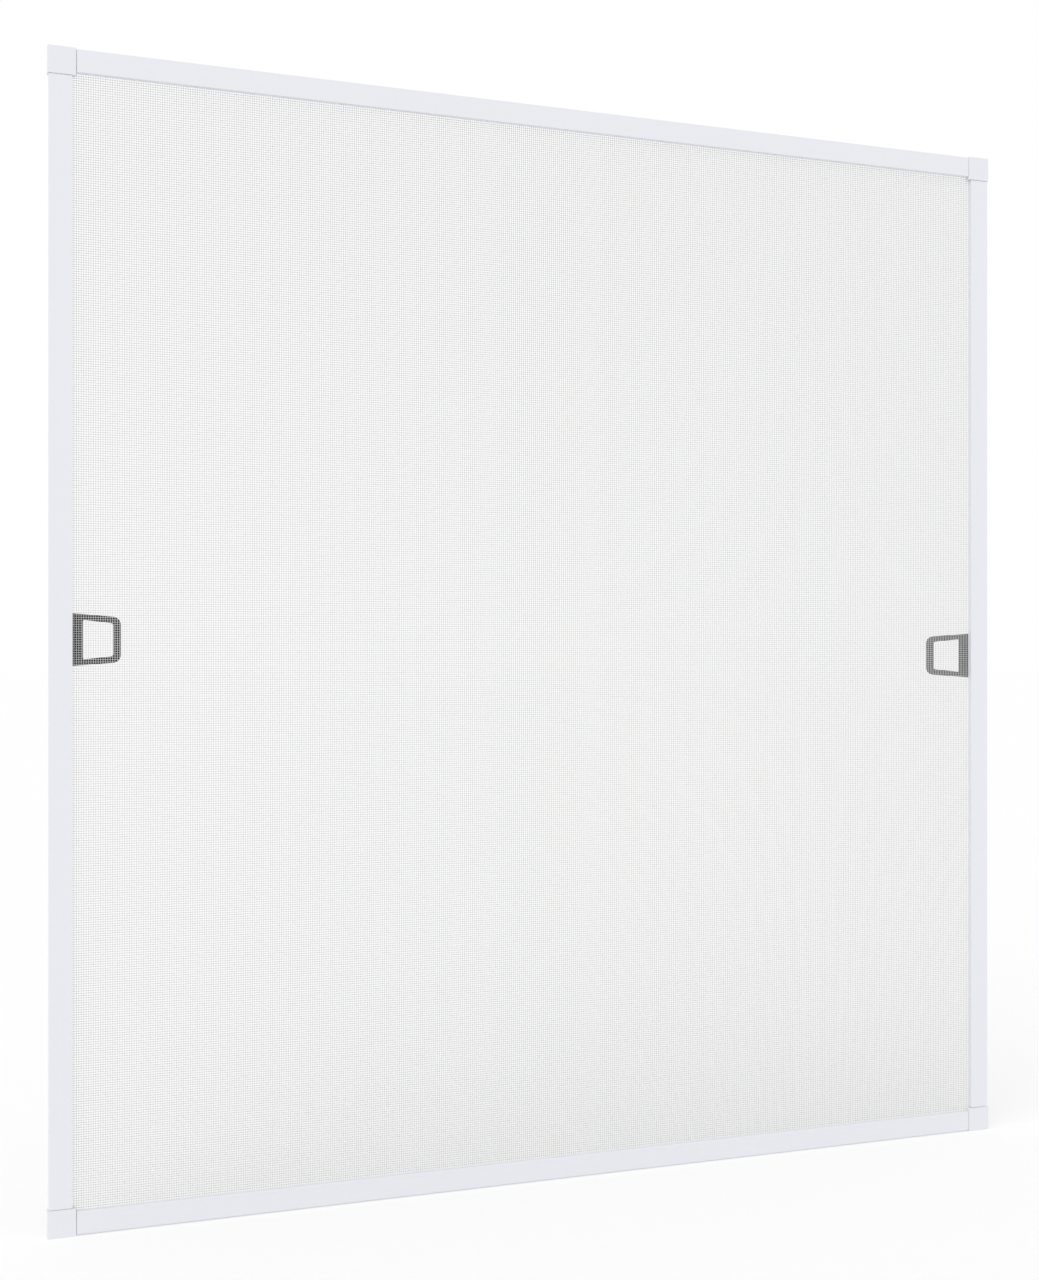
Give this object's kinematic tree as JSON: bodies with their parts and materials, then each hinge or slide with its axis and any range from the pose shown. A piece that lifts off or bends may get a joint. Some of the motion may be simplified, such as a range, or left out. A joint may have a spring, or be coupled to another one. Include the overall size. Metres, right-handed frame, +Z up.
{
  "type": "window insect screen frame",
  "caption": "Rectangular insect screen for a window: aluminium frame with plug-in corner pieces, stretched mesh, hang-in hooks and finger pull tabs behind the mesh.",
  "frame": {"origin": "mid-width, at the bottom edge of the corner pieces, on the back face of the extrusions; the middle of the whole depth lies 3.2 mm behind it", "axes": "+X to the right seen from outside, -Y towards the outside, +Z up the height"},
  "size_m": [1.4, 0.0297, 1.5],
  "materials": {
    "powder_coat": "white powder coat on extruded aluminium, fine even texture, semi-matt",
    "corner_plastic": "white moulded plastic, matched to the coat of the extrusions",
    "mesh": "light grey vinyl-coated glass-fibre yarn",
    "tab_plastic": "black moulded plastic, fine spark texture",
    "spline_vinyl": "mid grey soft vinyl cord, ribbed round",
    "brush_pile": "dense grey pile on a woven backing",
    "bracket_steel": "stainless strip, brushed along its length",
    "screw_steel": "bright zinc-plated steel"
  },
  "bodies": {
    "root": {"bottom_rail": "powder_coat", "bracket_screws": "screw_steel", "brush_seal_bottom": "brush_pile", "brush_seal_left": "brush_pile", "brush_seal_right": "brush_pile", "brush_seal_top": "brush_pile", "corner_piece_bottom_left": "corner_plastic", "corner_piece_bottom_right": "corner_plastic", "corner_piece_top_left": "corner_plastic", "corner_piece_top_right": "corner_plastic", "hang_bracket_bottom_left": "bracket_steel", "hang_bracket_bottom_right": "bracket_steel", "hang_bracket_top_left": "bracket_steel", "hang_bracket_top_right": "bracket_steel", "insect_mesh": "mesh", "left_stile": "powder_coat", "pull_tab_left": "tab_plastic", "pull_tab_right": "tab_plastic", "right_stile": "powder_coat", "spline_bottom": "spline_vinyl", "spline_left": "spline_vinyl", "spline_right": "spline_vinyl", "spline_top": "spline_vinyl", "top_rail": "powder_coat"}
  },
  "joints": []
}
